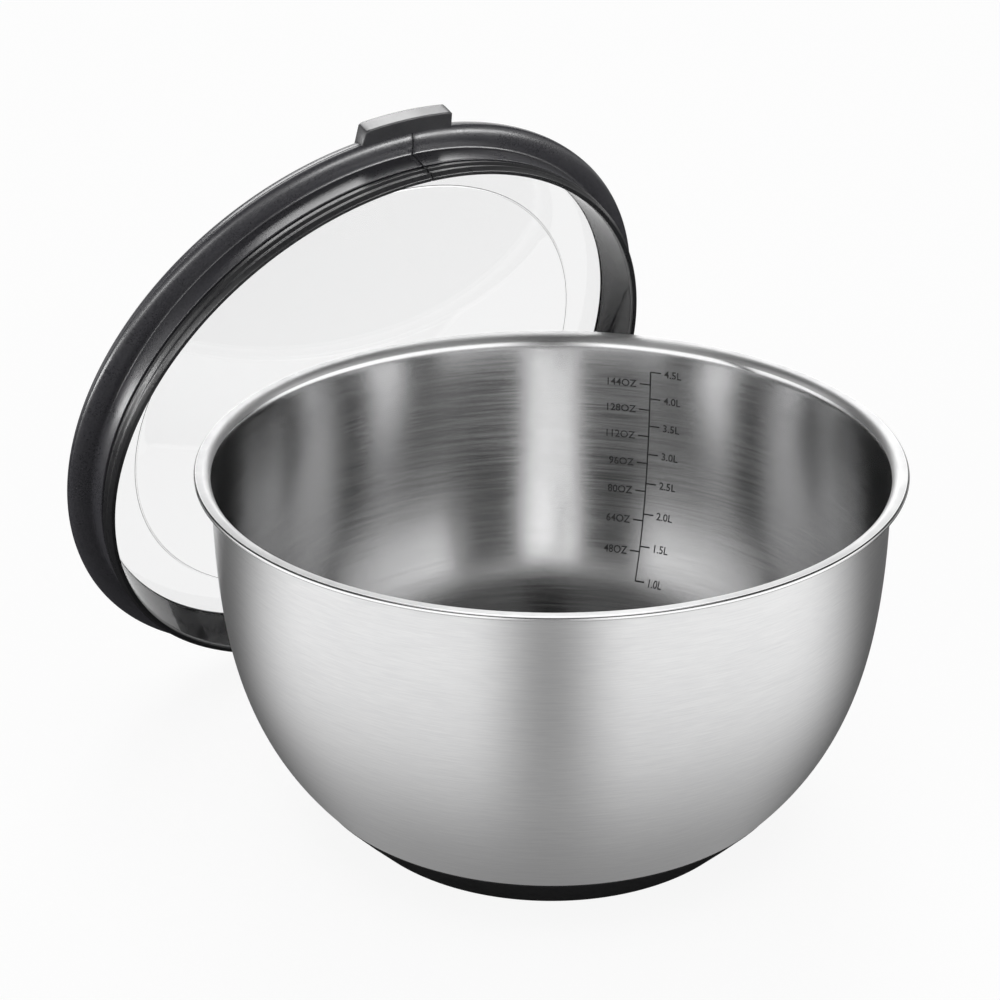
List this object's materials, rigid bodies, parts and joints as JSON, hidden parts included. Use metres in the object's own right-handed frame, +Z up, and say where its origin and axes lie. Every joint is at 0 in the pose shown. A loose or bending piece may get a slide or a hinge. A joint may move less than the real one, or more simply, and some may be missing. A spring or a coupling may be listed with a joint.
{
  "type": "lidded salad bowl",
  "caption": "Round stainless-steel salad bowl with a flat hemmed rim and black non-slip base; a loose clear lid with a black edge ring, lip seal and grip tab leans on its rim.",
  "frame": {"origin": "middle of the base underside, on the table", "axes": "+Z up along the bowl's axis; +X to the right and -Y to the front, where the lid stands behind and to the left"},
  "size_m": [0.3038, 0.3034, 0.2442],
  "materials": {
    "steel": "brushed outside, polished inside and on the rim",
    "base": "fine matt",
    "clear": "clear and glossy",
    "ring": "fine satin grain",
    "seal": "satin",
    "tab": "satin"
  },
  "bodies": {
    "bowl": {"bowl_shell": "steel", "base_cap": "base"},
    "lid": {"lid_pane": "clear", "lid_edge_ring": "ring", "lid_seal": "seal", "grip_tab": "tab"}
  },
  "joints": [
    {"name": "lid_lift", "type": "slide", "parent": "bowl", "child": "lid", "axis": [0, 0, 1], "range_m": [0, 0.17]}
  ]
}
